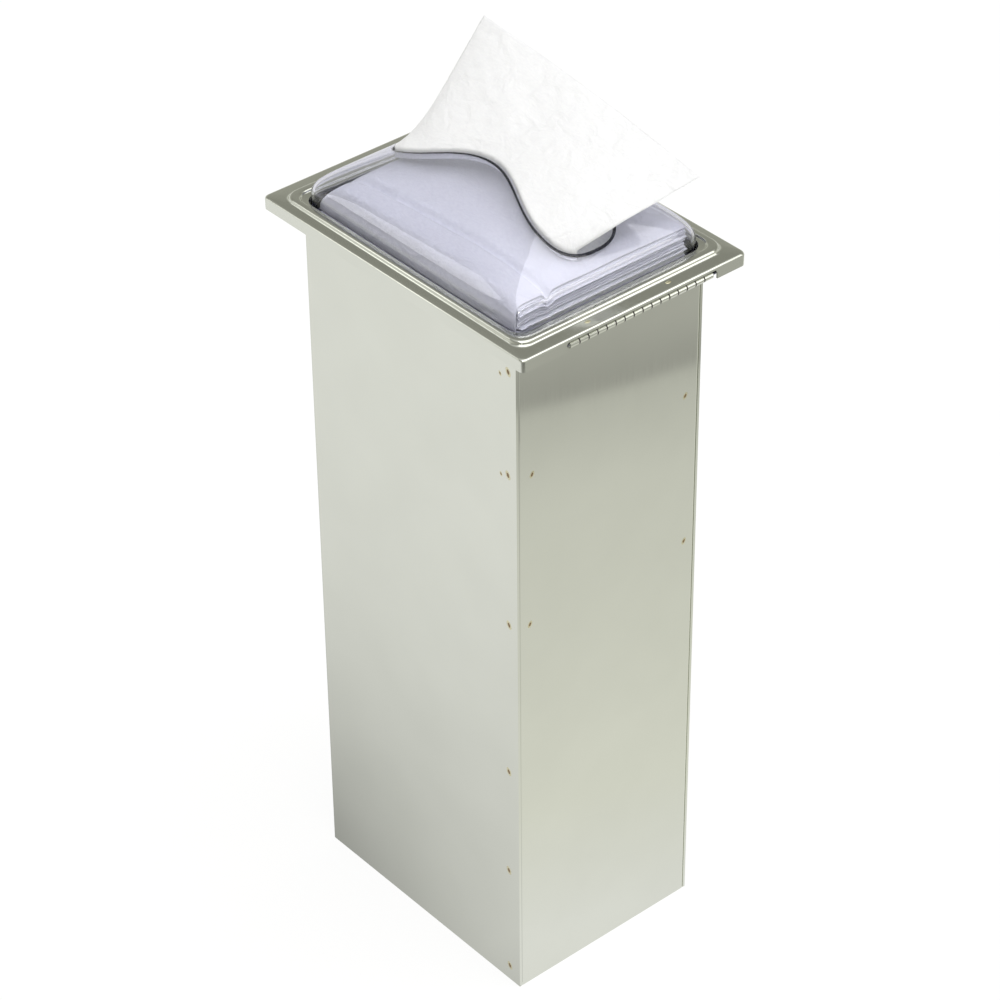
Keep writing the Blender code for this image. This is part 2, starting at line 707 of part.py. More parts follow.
def build_catch(group, cover, catch):
    """A tab under the retainer, and the spring tongue that hangs from it inside the collar.

    Each corner of the tongue is its depth below the top and how far its outer face leans inwards
    to the housing's wall; the bulge near the middle is what snaps over the collar.
    """
    half = BRACKET_WIDTH / 2
    tab = box((BRACKET_OUTER_X, CATCH_Y - half, BRACKET_TOP - BRACKET_THICKNESS),
              (BRACKET_INNER_X, CATCH_Y + half, BRACKET_TOP))
    add_object("catch_bracket", tab, steel(), group, cover)
    face = [(0, 0.0), (5, 0.0), (7.5, 0.7), (8.5, 0.7), (11, 0.0), (12.5, -0.5)]
    wall_side = [(CATCH_X - TONGUE_THICKNESS - lean * MM, CATCH_TOP - depth * MM)
                 for depth, lean in face]
    well_side = [(CATCH_X - lean * MM, CATCH_TOP - depth * MM) for depth, lean in reversed(face)]
    half = TONGUE_WIDTH / 2
    tongue = extrude_along_y(wall_side + well_side, CATCH_Y - half, CATCH_Y + half)
    add_object("catch_tongue", tongue, plated_steel(), group, catch)


def main():
    clear_scene()
    parts = collection("napkin_dispenser")
    cutters = collection("cutters")
    housing = add_empty("housing", (0, 0, 0), parts)
    cover = add_empty("cover", (HINGE_X, HINGE_CENTRE_Y, HINGE_Z), parts, housing)
    catch = add_empty("catch", (CATCH_X, CATCH_Y, CATCH_TOP), parts, housing)
    follower = add_empty("follower", (0, 0, FOLLOWER_TOP), parts, housing)
    napkin = add_empty("napkin", (0, 0, DOME_BASE), parts, housing)

    build_housing_wrap(parts, housing)
    build_hinge_side_panel(parts, cutters, housing)
    build_bottom_pan(parts, housing)
    build_counter_flange(parts, housing)
    build_stud_holes(cutters)
    build_cover_frame(parts, cutters, cover)
    build_dome(parts, cutters, cover)
    build_dome_retainer(parts, cover)
    build_studs(parts, cutters, cover)
    build_hinge_leaf("hinge_fixed_leaf", HINGE_Z - BARREL_RADIUS, 0, parts, cutters, housing)
    build_hinge_leaf("hinge_moving_leaf", DOME_RIM_TOP, 1, parts, cutters, cover)
    build_hinge_pin(parts, housing)
    build_catch(parts, cover, catch)
    build_spring_cups(parts, housing, follower)
    build_follower_plate(parts, follower)
    build_glide_pads(parts, follower)
    build_spring(parts, follower)
    build_napkin_stack(parts, follower)
    build_top_napkins(parts, housing)
    build_dispensed_napkin(parts, napkin)


main()
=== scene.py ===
import math
import random

import bmesh
import bpy
from mathutils import Matrix, Vector, noise


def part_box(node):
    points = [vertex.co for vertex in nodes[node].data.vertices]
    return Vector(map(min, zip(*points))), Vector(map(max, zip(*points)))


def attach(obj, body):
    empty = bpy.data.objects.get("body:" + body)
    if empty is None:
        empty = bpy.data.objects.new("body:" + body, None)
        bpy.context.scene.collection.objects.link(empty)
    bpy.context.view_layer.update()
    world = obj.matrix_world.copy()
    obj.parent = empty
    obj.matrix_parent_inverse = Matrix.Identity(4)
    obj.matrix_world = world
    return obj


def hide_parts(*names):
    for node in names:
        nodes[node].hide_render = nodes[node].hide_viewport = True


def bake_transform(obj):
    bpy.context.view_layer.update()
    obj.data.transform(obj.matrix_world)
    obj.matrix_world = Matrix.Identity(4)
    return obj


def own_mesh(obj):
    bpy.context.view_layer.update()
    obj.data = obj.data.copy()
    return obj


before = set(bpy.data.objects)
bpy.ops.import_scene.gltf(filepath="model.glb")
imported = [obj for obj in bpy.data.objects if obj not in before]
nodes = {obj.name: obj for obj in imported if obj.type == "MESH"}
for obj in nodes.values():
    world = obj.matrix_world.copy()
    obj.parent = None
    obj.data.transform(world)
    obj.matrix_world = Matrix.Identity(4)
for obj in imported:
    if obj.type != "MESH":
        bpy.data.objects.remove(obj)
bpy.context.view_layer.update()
mm = 0.001
print("frame loaded:", len(nodes), "nodes")


def linear(hexCode):
    # sRGB hex to the linear colour that shaders take
    channels = [int(hexCode[i:i + 2], 16) / 255 for i in (1, 3, 5)]
    return [c / 12.92 if c <= 0.04045 else ((c + 0.055) / 1.055) ** 2.4 for c in channels] + [1.0]


def grey(value):
    return [value, value, value, 1.0]


def warm(value):
    return [value, value, 0.94 * value, 1.0]


def wire(tree, node, inputs):
    # each value is a number, a colour, a socket, or a node whose first output is taken
    for name, value in inputs.items():
        if isinstance(value, bpy.types.Node):
            value = value.outputs[0]
        if isinstance(value, bpy.types.NodeSocket):
            tree.links.new(value, node.inputs[name])
        else:
            node.inputs[name].default_value = value


def addNode(tree, kind, inputs=None, stops=None, **settings):
    # stops are the places and colours of a colour ramp, in order
    node = tree.nodes.new(kind)
    for name, value in settings.items():
        setattr(node, name, value)
    wire(tree, node, inputs or {})
    if stops:
        elements = node.color_ramp.elements
        elements[0].position, elements[0].color = stops[0]
        elements[-1].position, elements[-1].color = stops[-1]
        for place, colour in stops[1:-1]:
            elements.new(place).color = colour
    return node


def newMaterial(name):
    # the material, its tree, its shader and the object coordinates that its patterns follow
    material = bpy.data.materials.new(name)
    material.use_nodes = True
    tree = material.node_tree
    place = addNode(tree, "ShaderNodeTexCoord").outputs["Object"]
    return material, tree, tree.nodes["Principled BSDF"], place


# grain and wave are the widths of a rolling line and of the sheet's slow waves, in mm
steelLook = {"tint": "#d6d8ce", "shade": "#d2d4ca", "roughness": 0.065, "grain": 0.35, "wave": 160}


def satinSteel(name, grainAxis, **changes):
    # bright cold-rolled 304 sheet: clear but soft reflections with a faint green-grey cast, very
    # fine rolling lines, and a slow waviness of the sheet that bends what it reflects
    look = {**steelLook, **changes}
    material, tree, shader, place = newMaterial(name)
    fine = 1 / (look["grain"] * mm)
    stretch = [fine / 90 if axis == grainAxis else fine for axis in "XYZ"]  # lines 90 times as long
    lined = addNode(tree, "ShaderNodeMapping", {"Vector": place, "Scale": stretch})
    lines = addNode(tree, "ShaderNodeTexNoise", {"Vector": lined, "Scale": 1.0, "Detail": 2.0})
    cloud = addNode(tree, "ShaderNodeTexNoise",
                    {"Vector": place, "Scale": 1 / (60 * mm), "Detail": 3.0})
    slow = addNode(tree, "ShaderNodeTexNoise",
                   {"Vector": place, "Scale": 1 / (look["wave"] * mm), "Detail": 0.0})
    colour = addNode(tree, "ShaderNodeValToRGB", {"Fac": cloud},
                     [(0.30, linear(look["shade"])), (0.70, linear(look["tint"]))])
    rough = addNode(tree, "ShaderNodeMapRange",
                    {"Value": lines, "From Min": 0.3, "From Max": 0.7,
                     "To Min": look["roughness"] - 0.02, "To Max": look["roughness"] + 0.02})
    scratch = addNode(tree, "ShaderNodeBump",
                      {"Height": lines, "Strength": 0.012, "Distance": 0.05 * mm})
    bend = addNode(tree, "ShaderNodeBump",
                   {"Height": slow, "Strength": 1.0, "Distance": 0.8 * mm, "Normal": scratch})
    wire(tree, shader, {"Base Color": colour, "Metallic": 1.0, "Roughness": rough, "Normal": bend})
    return material


def brightWire(name):
    # zinc-plated spring wire and small fasteners: brighter and bluer than the sheet, and blotched
    material, tree, shader, place = newMaterial(name)
    blotch = addNode(tree, "ShaderNodeTexNoise",
                     {"Vector": place, "Scale": 1 / (3 * mm), "Detail": 3.0})
    colour = addNode(tree, "ShaderNodeValToRGB", {"Fac": blotch},
                     [(0.3, linear("#bfc1c4")), (0.7, linear("#d8dadc"))])
    rough = addNode(tree, "ShaderNodeMapRange", {"Value": blotch, "To Min": 0.18, "To Max": 0.36})
    wire(tree, shader, {"Base Color": colour, "Metallic": 1.0, "Roughness": rough})
    return material


def heatTint(name, dark, light, metal):
    # oxide that a spot weld leaves on stainless: brown in the pitted middle, straw round it; with no
    # metal in it, painted shade for the gaps of a joint
    material, tree, shader, place = newMaterial(name)
    pits = addNode(tree, "ShaderNodeTexNoise",
                   {"Vector": place, "Scale": 1 / (0.7 * mm), "Detail": 3.0})
    colour = addNode(tree, "ShaderNodeValToRGB", {"Fac": pits},
                     [(0.30, linear(dark)), (0.70, linear(light))])
    wire(tree, shader, {"Base Color": colour, "Metallic": metal, "Roughness": 0.35})
    return material


def clearPolycarbonate(name):
    # water-clear moulding with a faint blue cast, polished: sharp reflections, and it lets the
    # lamps reach the napkins below it
    material, tree, shader, place = newMaterial(name)
    haze = addNode(tree, "ShaderNodeTexNoise",
                   {"Vector": place, "Scale": 1 / (20 * mm), "Detail": 3.0})
    rough = addNode(tree, "ShaderNodeMapRange", {"Value": haze, "To Min": 0.01, "To Max": 0.04})
    flow = addNode(tree, "ShaderNodeBump",
                   {"Height": haze, "Strength": 0.08, "Distance": 0.5 * mm})
    # at a glancing angle the eye looks through more of the sheet, so it is darker there
    glance = addNode(tree, "ShaderNodeLayerWeight", {"Blend": 0.5}).outputs["Facing"]
    cast = addNode(tree, "ShaderNodeValToRGB", {"Fac": glance},
                   [(0.42, linear("#f7f7fe")), (0.86, linear("#8689a6"))])
    wire(tree, shader, {"Base Color": cast, "Roughness": rough, "IOR": 1.585,
                        "Transmission Weight": 1.0, "Normal": flow})
    lamps = addNode(tree, "ShaderNodeLightPath").outputs["Is Shadow Ray"]
    through = addNode(tree, "ShaderNodeBsdfTransparent", {"Color": linear("#fafafd")})
    mixed = addNode(tree, "ShaderNodeMixShader", {0: lamps, 1: shader, 2: through})
    wire(tree, tree.nodes["Material Output"], {"Surface": mixed})
    return material


def paintedEdgeShade(name):
    # painted shade: the sawn and flamed edge of the clear sheet, and a strip of the top beside it, are
    # made nearly black and opaque to stand in for the dark line that the clear edge shows
    material, tree, shader, place = newMaterial(name)
    grain = addNode(tree, "ShaderNodeTexNoise",
                    {"Vector": place, "Scale": 1 / (2 * mm), "Detail": 2.0})
    colour = addNode(tree, "ShaderNodeValToRGB", {"Fac": grain},
                     [(0.3, linear("#1d1e26")), (0.7, linear("#2b2c38"))])
    wire(tree, shader, {"Base Color": colour, "Roughness": 0.18, "IOR": 1.585})
    return material


def tissue(name, tint="#f9f9fb", shade="#f5f5f8"):
    # one-ply creped tissue: matt and soft, with crepe lines and faint crumples that catch light
    material, tree, shader, place = newMaterial(name)
    # one cell of the crepe is about 2.5 by 0.7 by 1.4 mm
    crepe = addNode(tree, "ShaderNodeMapping", {"Vector": place, "Scale": (400, 1500, 700)})
    lines = addNode(tree, "ShaderNodeTexNoise", {"Vector": crepe, "Scale": 1.0, "Detail": 3.0})
    crumple = addNode(tree, "ShaderNodeTexNoise",
                      {"Vector": place, "Scale": 1 / (14 * mm), "Detail": 5.0, "Roughness": 0.55,
                       "Distortion": 0.8})
    colour = addNode(tree, "ShaderNodeValToRGB", {"Fac": lines},
                     [(0.35, linear(shade)), (0.65, linear(tint))])
    fine = addNode(tree, "ShaderNodeBump",
                   {"Height": lines, "Strength": 0.15, "Distance": 0.15 * mm})
    broad = addNode(tree, "ShaderNodeBump",
                    {"Height": crumple, "Strength": 0.9, "Distance": 2.0 * mm, "Normal": fine})
    wire(tree, shader, {"Base Color": colour, "Roughness": 0.92, "Specular IOR Level": 0.25,
                        "Sheen Weight": 0.1, "Sheen Roughness": 0.6, "Normal": broad})
    return material


def mouldedNylon(name):
    # natural nylon: cream white, slightly waxy, fine moulded grain
    material, tree, shader, place = newMaterial(name)
    grain = addNode(tree, "ShaderNodeTexNoise",
                    {"Vector": place, "Scale": 1 / (0.6 * mm), "Detail": 2.0})
    colour = addNode(tree, "ShaderNodeValToRGB", {"Fac": grain},
                     [(0.3, linear("#dcd8cb")), (0.7, linear("#e9e6db"))])
    bump = addNode(tree, "ShaderNodeBump",
                   {"Height": grain, "Strength": 0.2, "Distance": 0.1 * mm})
    wire(tree, shader, {"Base Color": colour, "Roughness": 0.5, "Normal": bump})
    return material


wallSteel = satinSteel("satin stainless, lines upright", "Z")
# the press leaves the frame a little duller and wavier than the walls
frameSteel = satinSteel("satin stainless, pressed frame", "X", roughness=0.15, wave=90)
# the inside is not polished, so it reflects in a blur
innerSteel = satinSteel("mill-finish stainless, inside", "Z", roughness=0.28)
# painted shade: the steel under the dome is made dull, grey-blue and darker than the sheet, so the
# clear foot of the dome looks dark
retainerShadeSteel = satinSteel("stainless, painted shade grey", "X", tint="#7b7c8a", shade="#727380",
                           roughness=0.32)
wireSteel = brightWire("zinc-plated steel")
weldTint = heatTint("spot weld, brown oxide", "#6a5138", "#8f7752", 0.3)
gapShade = heatTint("hinge joint, painted shade", "#2b2826", "#454039", 0.0)
strawTint = heatTint("spot weld, straw oxide", "#cfc9a8", "#d6d2b6", 0.9)
domePlastic = clearPolycarbonate("clear polycarbonate")
paper = tissue("creped tissue")
# in the stack, the light is lost between the sheets, so the tissue is a little greyer
stackPaper = tissue("creped tissue, stacked", tint="#e3e4e9", shade="#dadbe2")
edgeShadePlastic = paintedEdgeShade("clear polycarbonate, painted edge shade")
nylon = mouldedNylon("natural nylon")

# a node takes the finish whose list holds the start of its name, and innerSteel otherwise
finishes = [(wallSteel, ("housing_wrap", "hinge_side_panel")),
            (frameSteel, ("cover_frame", "hinge_moving_leaf", "hinge_fixed_leaf")),
            (wireSteel, ("weld_stud", "stud_nut", "hinge_pin", "lower_spring_cup",
                         "upper_spring_cup", "catch_tongue", "follower_spring")),
            (nylon, ("glide_pad",)),
            (domePlastic, ("dome_window",)),
            (paper, ("dispensed_napkin", "top_napkins", "napkin_stack")),
            (retainerShadeSteel, ("dome_retainer", "counter_flange"))]
for name in nodes:
    material = next((finish for finish, starts in finishes if name.startswith(starts)), innerSteel)
    nodes[name].data.materials.clear()
    nodes[name].data.materials.append(material)
print("finishes set")


def addObject(name, data):
    thing = bpy.data.objects.new(name, data)
    bpy.context.scene.collection.objects.link(thing)
    return thing


def smoothMesh(mesh, sharpAngle=35):
    mesh.shade_smooth()
    mesh.set_sharp_from_angle(angle=math.radians(sharpAngle))


def makePiece(name, bm, material, body, sharpAngle=35):
    mesh = bpy.data.meshes.new(name)
    bm.to_mesh(mesh)
    bm.free()
    mesh.materials.append(material)
    smoothMesh(mesh, sharpAngle)
    piece = addObject(name, mesh)
    if body:
        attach(piece, body)
    return piece


def bakeModifiers(piece):
    graph = bpy.context.evaluated_depsgraph_get()
    mesh = bpy.data.meshes.new_from_object(piece.evaluated_get(graph))
    piece.modifiers.clear()
    piece.data = mesh
    smoothMesh(mesh)


def addShell(piece, thickness, offset=-1.0):
    shell = piece.modifiers.new("Shell", "SOLIDIFY")
    shell.thickness = thickness
    shell.offset = offset
    shell.use_even_offset = True


def addBevel(piece, width, segments):
    # only the cut edges of a sheet are sharper than the limit
    bevel = piece.modifiers.new("Bevel", "BEVEL")
    bevel.width = width
    bevel.segments = segments
    bevel.limit_method = "ANGLE"
    bevel.angle_limit = math.radians(50)


def addBlock(bm, centre, size):
    bmesh.ops.create_cube(bm, size=1, matrix=Matrix.Translation(centre) @ Matrix.Diagonal((*size, 1)))


def faceUp(bm):
    bmesh.ops.recalc_face_normals(bm, faces=bm.faces)
    if sum(face.normal.z for face in bm.faces) < 0:
        bmesh.ops.reverse_faces(bm, faces=bm.faces)


def closedLoop(bm, points):
    verts = [bm.verts.new(point) for point in points]
    edges = [bm.edges.new((a, b)) for a, b in zip(verts, verts[1:] + verts[:1])]
    return verts, edges


def bridgeLoops(bm, loops):
    for (_, lower), (_, upper) in zip(loops, loops[1:]):
        bmesh.ops.bridge_loops(bm, edges=lower + upper)


def roundedRectangle(halfX, halfY, radius, z, steps):
    points = []
    for quarter, (sx, sy) in enumerate([(1, 1), (-1, 1), (-1, -1), (1, -1)]):
        for step in range(steps + 1):
            angle = (quarter + step / steps) * math.pi / 2
            points.append((sx * (halfX - radius) + radius * math.cos(angle),
                           sy * (halfY - radius) + radius * math.sin(angle), z))
    return points


def roundCorners(corners, steps=5):
    # each corner is (halfX, halfY, z, cornerRadius, fold): it becomes a curve of that fold size
    path = [corners[0][:4]]
    for before, here, after in zip(corners, corners[1:], corners[2:]):
        ends = []
        for other in (before, after):
            step = [o - h for o, h in zip(other[:4], here[:4])]
            reach = math.sqrt(step[0] ** 2 + step[2] ** 2)
            share = min(here[4] / reach, 0.5)
            ends.append([h + s * share for h, s in zip(here[:4], step)])
        for i in range(steps + 1):
            t = i / steps
            path.append(tuple((1 - t) ** 2 * a + 2 * t * (1 - t) * h + t * t * b
                              for a, h, b in zip(ends[0], here[:4], ends[1])))
    path.append(corners[-1][:4])
    return path


# cover frame: a pressing with a lip, a flat margin, a raised bead and a hem round the dome
frameLow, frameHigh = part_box("cover_frame")
leafLow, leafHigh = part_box("hinge_moving_leaf")
coverSettings = {
    "sheet": 0.9 * mm, "top": 464 * mm, "lipCorner": 3.2 * mm, "topCorner": 3.0 * mm,
    "topFold": 1.7 * mm, "steps": 10,
    # half length, half width, rise over the margin, corner radius and fold, in mm, going inwards
    "profile": [(100.0, 73.4, 0.0, 8.5, 1.0), (98.9, 72.5, 2.4, 8.5, 1.0),
                (94.3, 69.1, 2.4, 8.5, 0.9), (93.6, 68.6, 1.0, 8.5, 0.5),
                (90.6, 66.6, 1.0, 9.5, 0.5), (90.5, 66.5, -0.6, 9.5, 0.0)],
    "notchInner": 104.4 * mm, "notchDepth": 8 * mm, "notchLength": 107.2 * mm,
    "notchHeight": 12 * mm, "notchTop": 462 * mm, "notchRound": 2 * mm}


def cutNotch(piece, s=coverSettings):
    # the lip is cut away over the hinge, with round inner corners
    size = Vector((s["notchDepth"], s["notchLength"], s["notchHeight"]))
    centre = Vector((s["notchInner"] + size.x / 2, (leafLow.y + leafHigh.y) / 2,
                     s["notchTop"] - size.z / 2))
    bm = bmesh.new()
    addBlock(bm, centre, size)
    upper = [e for e in bm.edges if all(v.co.z > centre.z for v in e.verts)
             and abs(e.verts[0].co.y - e.verts[1].co.y) < mm]
    bmesh.ops.bevel(bm, geom=upper, offset=s["notchRound"], segments=6, profile=0.5,
                    affect="EDGES", material=-1)
    cutter = makePiece("notchCutter", bm, frameSteel, None)
    boolean = piece.modifiers.new("Notch", "BOOLEAN")
    boolean.object = cutter
    boolean.solver = "EXACT"
    bakeModifiers(piece)
    bpy.data.objects.remove(cutter)


def coverFrame(s=coverSettings):
    corners = [(frameHigh.x, frameHigh.y, frameLow.z, s["lipCorner"], 0),
               (frameHigh.x, frameHigh.y, s["top"], s["topCorner"], s["topFold"])]
    for halfX, halfY, rise, radius, fold in s["profile"]:
        corners.append((halfX * mm, halfY * mm, s["top"] + rise * mm, radius * mm, fold * mm))
    bm = bmesh.new()
    loops = [closedLoop(bm, roundedRectangle(halfX, halfY, radius, z, s["steps"]))
             for halfX, halfY, z, radius in roundCorners(corners)]
    bridgeLoops(bm, loops)
    bmesh.ops.recalc_face_normals(bm, faces=bm.faces)
    piece = makePiece("coverFramePressing", bm, frameSteel, None)
    addShell(piece, s["sheet"])
    cutNotch(piece)
    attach(piece, "cover")
    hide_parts("cover_frame")


coverFrame()
print("cover frame made")


# dome window: a flanged moulding with a slot that has a narrow neck between two round lobes
domeSettings = {
    "halfX": 90 * mm, "halfY": 66 * mm, "base": 466 * mm, "wall": 2.0 * mm,
    # the plan is a squared ellipse, rounder towards the top and squarer at the foot
    "planPower": 2.6, "footPower": 14, "solveSteps": 26,
    "shoulder": 16 * mm, "shoulderPower": 4.7, "shoulderRoot": 0.25,
    "crown": 24 * mm, "crownPower": 1.4,
    "rimX": 98 * mm, "rimY": 73 * mm, "rimTop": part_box("dome_retainer")[1].z + 2.3 * mm,
    "fillet": [(1.6, 0.0), (0.4, 0.5), (0.0, 1.4)],  # out from the foot and up from the rim, in mm
    "neck": 6 * mm, "lobe": 21.7 * mm, "lobeX": 57 * mm, "endX": 76 * mm, "cornerPower": 2.6,
    "edge": 1.5 * mm, "edgeBevel": 0.7 * mm,
    "edgeNarrow": 0.55, "edgeFrom": 40 * mm, "edgeOver": 60 * mm,  # how the strip of painted edge shade widens
    # points in a quarter, their shares on the slot's flank and the dome's long side, and rings
    "quarter": 40, "flankShare": 0.6, "longShare": 0.62, "rings": 34, "ringPower": 1.9}


def domeHeight(share, s=domeSettings):
    shoulder = s["shoulder"] * (1 - share ** s["shoulderPower"]) ** s["shoulderRoot"]
    return shoulder + s["crown"] * (1 - share ** 2) ** s["crownPower"]


def domeShare(x, y, s=domeSettings):
    # 0 at the dome's middle and 1 at its foot; the plan's power depends on it, so it is solved
    share = 0.5
    for _ in range(s["solveSteps"]):
        power = s["planPower"] + s["footPower"] * share ** 6
        reach = (abs(x / s["halfX"]) ** power + abs(y / s["halfY"]) ** power) ** (1 / power)
        share = (share + min(reach, 1.0)) / 2
    return share


def domeSurface(x, y, s=domeSettings):
    return s["base"] + domeHeight(domeShare(x, y))


def slotHalfWidth(x, s=domeSettings):
    x = abs(x)
    if x <= s["lobeX"]:
        swell = (1 - math.cos(math.pi * x / s["lobeX"])) / 2
        return s["neck"] + (s["lobe"] - s["neck"]) * swell
    share = min((x - s["lobeX"]) / (s["endX"] - s["lobeX"]), 1.0)
    return s["lobe"] * (1 - share ** s["cornerPower"]) ** (1 / s["cornerPower"])


def quarterPoints(s=domeSettings):
    # matching points on the slot's edge and the dome's foot, from the middle of the long side
    # to the middle of the short side
    flank, long = s["flankShare"], s["longShare"]
    power = s["planPower"] + s["footPower"]
    pairs = []
    for i in range(s["quarter"]):
        t = i / s["quarter"]
        if t < flank:
            slotX = s["lobeX"] * t / flank
        else:
            turn = math.pi / 2 * (t - flank) / (1 - flank)
            slotX = s["lobeX"] + (s["endX"] - s["lobeX"]) * math.sin(turn)
        x, y = (t / long, 1.0) if t < long else (1.0, 1.0 - (t - long) / (1 - long))
        reach = (x ** power + y ** power) ** (1 / power)
        pairs.append(((slotX, slotHalfWidth(slotX)), (s["halfX"] * x / reach, s["halfY"] * y / reach)))
    return pairs


def allRound(quarter, tip, side):
    # a quarter outline turned into the whole one, counter-clockwise from the +Y middle
    a = [pair[side] for pair in quarter]
    loop = [(-x, y) for x, y in a] + [(-tip, 0.0)] + [(-x, -y) for x, y in reversed(a[1:])]
    return loop + [(x, -y) for x, y in a] + [(tip, 0.0)] + [(x, y) for x, y in reversed(a[1:])]


def domeWindow(s=domeSettings):
    quarter = quarterPoints()
    inner = allRound(quarter, s["endX"], 0)
    outer = allRound(quarter, s["halfX"], 1)
    rim = [(s["rimX"], s["rimY"], s["rimTop"])]
    for out, rise in s["fillet"]:
        rim.append((s["halfX"] + out * mm, s["halfY"] + out * mm, s["rimTop"] + rise * mm))
    bm = bmesh.new()
    loops = [closedLoop(bm, [(x * rimX / s["halfX"], y * rimY / s["halfY"], z) for x, y in outer])
             for rimX, rimY, z in rim]
    for ring in range(s["rings"] + 2):
        t = min(ring / s["rings"], 1.0) ** s["ringPower"]
        points = []
        for (ox, oy), (ix, iy) in zip(outer, inner):
            # the last strip before the slot's edge takes the painted edge shade, wider to the right
            widen = min(max((ix + s["edgeFrom"]) / s["edgeOver"], 0.0), 1.0)
            wide = s["edge"] * (s["edgeNarrow"] + (1 - s["edgeNarrow"]) * widen)
            along = t if ring > s["rings"] else t * (1 - wide / math.hypot(ox - ix, oy - iy))
            x, y = ox + (ix - ox) * along, oy + (iy - oy) * along
            points.append((x, y, s["base"] if ring == 0 else domeSurface(x, y)))
        loops.append(closedLoop(bm, points))
    bridgeLoops(bm, loops)
    # painted shade: the faces along the slot's edge take the dark edge material
    for vert in bm.verts:
        if vert.is_boundary and abs(vert.co.x) < s["endX"] + mm and abs(vert.co.y) < s["lobe"] + mm:
            for face in vert.link_faces:
                face.material_index = 1
    faceUp(bm)
    piece = makePiece("domeMoulding", bm, domePlastic, "cover")
    piece.data.materials.append(edgeShadePlastic)
    addShell(piece, s["wall"])
    # the shell's rims take the painted edge shade too
    piece.modifiers["Shell"].material_offset_rim = 1
    addBevel(piece, s["edgeBevel"], segments=3)
    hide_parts("dome_window")
    return piece


domePiece = domeWindow()
print("dome made")


# the napkin that stands in the slot; topLeft and topRight are the ends of its top edge, in mm
napkinSettings = {"columns": 120, "rows": 70, "width": 0.165, "ply": 0.35 * mm,
                  "slotX": 74 * mm, "overEdge": 1.6 * mm, "below": 6 * mm, "above": 1.2 * mm,
                  "turn": 0.08, "bow": 6 * mm, "pull": 9 * mm, "arch": 2.5 * mm,
                  "topLeft": (-62, 42, 551.0), "topRight": (97, 55, 515),
                  "crumple": 1.5 * mm, "crumpleFrom": 0.16, "crumpleOver": 0.3, "seed": 4,
                  "creaseShare": 0.5, "rippleShare": 0.22}


def napkinPoint(u, v, s=napkinSettings):
    # from the foot inside the slot, out over its near edge, and leaning back to the top edge
    x = s["slotX"] * (2 * u - 1)
    y = s["overEdge"] - slotHalfWidth(x)
    surface = domeSurface(x, y)
    foot = Vector((x, y, surface - s["below"]))
    start = Vector((x, y, surface + s["above"]))
    edge = (Vector(s["topLeft"]) * mm).lerp(Vector(s["topRight"]) * mm, u)
    edge.z += s["arch"] * math.sin(math.pi * u)
    turn = s["turn"]
    if v < turn:
        return foot.lerp(start, v / turn)
    t = (v - turn) / (1 - turn)
    point = start.lerp(edge, t)
    point.y -= s["bow"] * math.sin(math.pi * t) * u
    point.x += s["pull"] * (1 - u) * (1 - (1 - t) ** 6) * (1 - t)
    return point


def wrinkleAt(u, v, s=napkinSettings):
    # broad waves, sharper creases that run aslant, and fine ripples
    waves = noise.noise(Vector((u * 5.5, v * 3.2, s["seed"])))
    creases = abs(noise.noise(Vector((u * 12 + v * 4, v * 7, s["seed"] + 3.7))))
    ripples = noise.noise(Vector((u * 30, v * 18, s["seed"] + 9.1)))
    return waves + s["creaseShare"] * creases + s["rippleShare"] * ripples


def standingNapkin(s=napkinSettings):
    bm = bmesh.new()
    bmesh.ops.create_grid(bm, x_segments=s["columns"], y_segments=s["rows"], size=0.5)
    outwards = Vector((0.2, -0.8, 0.5))
    for vert in bm.verts:
        u, v = vert.co.x + 0.5, vert.co.y + 0.5
        free = max(0.0, min(1.0, (v - s["crumpleFrom"]) / s["crumpleOver"]))
        crumple = outwards * wrinkleAt(u, v) * s["crumple"] * free
        vert.co = napkinPoint(u, v) + crumple
    bmesh.ops.recalc_face_normals(bm, faces=bm.faces)
    area = sum(face.calc_area() for face in bm.faces)
    piece = makePiece("standingNapkin", bm, paper, "napkin", sharpAngle=80)
    addShell(piece, s["ply"], offset=0.0)
    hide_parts("dispensed_napkin")
    print("napkin area in cm2:", round(area * 1e4, 1))


standingNapkin()
print("standing napkin made")


# the stacked napkins: a grooved block below, and single sheets under the dome
stackLow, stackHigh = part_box("napkin_stack")
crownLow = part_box("top_napkins")[0]
stackSettings = {"layers": 190, "shift": 0.5 * mm, "play": 0.2 * mm, "corner": 1.5 * mm,
                 "groove": 0.5 * mm, "seed": 11}


def lowerStack(s=stackSettings):
    # every folded napkin is a thin bulge in the sides, shifted a little from its neighbours
    rng = random.Random(s["seed"])
    halfX = stackHigh.x - s["shift"] - s["play"]
    halfY = stackHigh.y - s["shift"] - s["play"]
    height = stackHigh.z - stackLow.z
    pitch = height / s["layers"]
    bm = bmesh.new()
    loops = []
    for layer in range(s["layers"]):
        dx, dy = rng.uniform(-1, 1) * s["shift"], rng.uniform(-1, 1) * s["shift"]
        z = stackLow.z + layer * pitch
        for rise, inset in ((0.06, s["groove"]), (0.3, 0.0), (0.75, 0.0)):
            points = roundedRectangle(halfX - inset, halfY - inset, s["corner"], z + rise * pitch, 2)
            loops.append(closedLoop(bm, [(x + dx, y + dy, pz) for x, y, pz in points]))
    bridgeLoops(bm, loops)
    bm.faces.new(loops[0][0][::-1])
    bm.faces.new(loops[-1][0])
    bmesh.ops.recalc_face_normals(bm, faces=bm.faces)
    piece = makePiece("foldedNapkinStack", bm, stackPaper, "follower", sharpAngle=80)
    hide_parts("napkin_stack")
    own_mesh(piece)


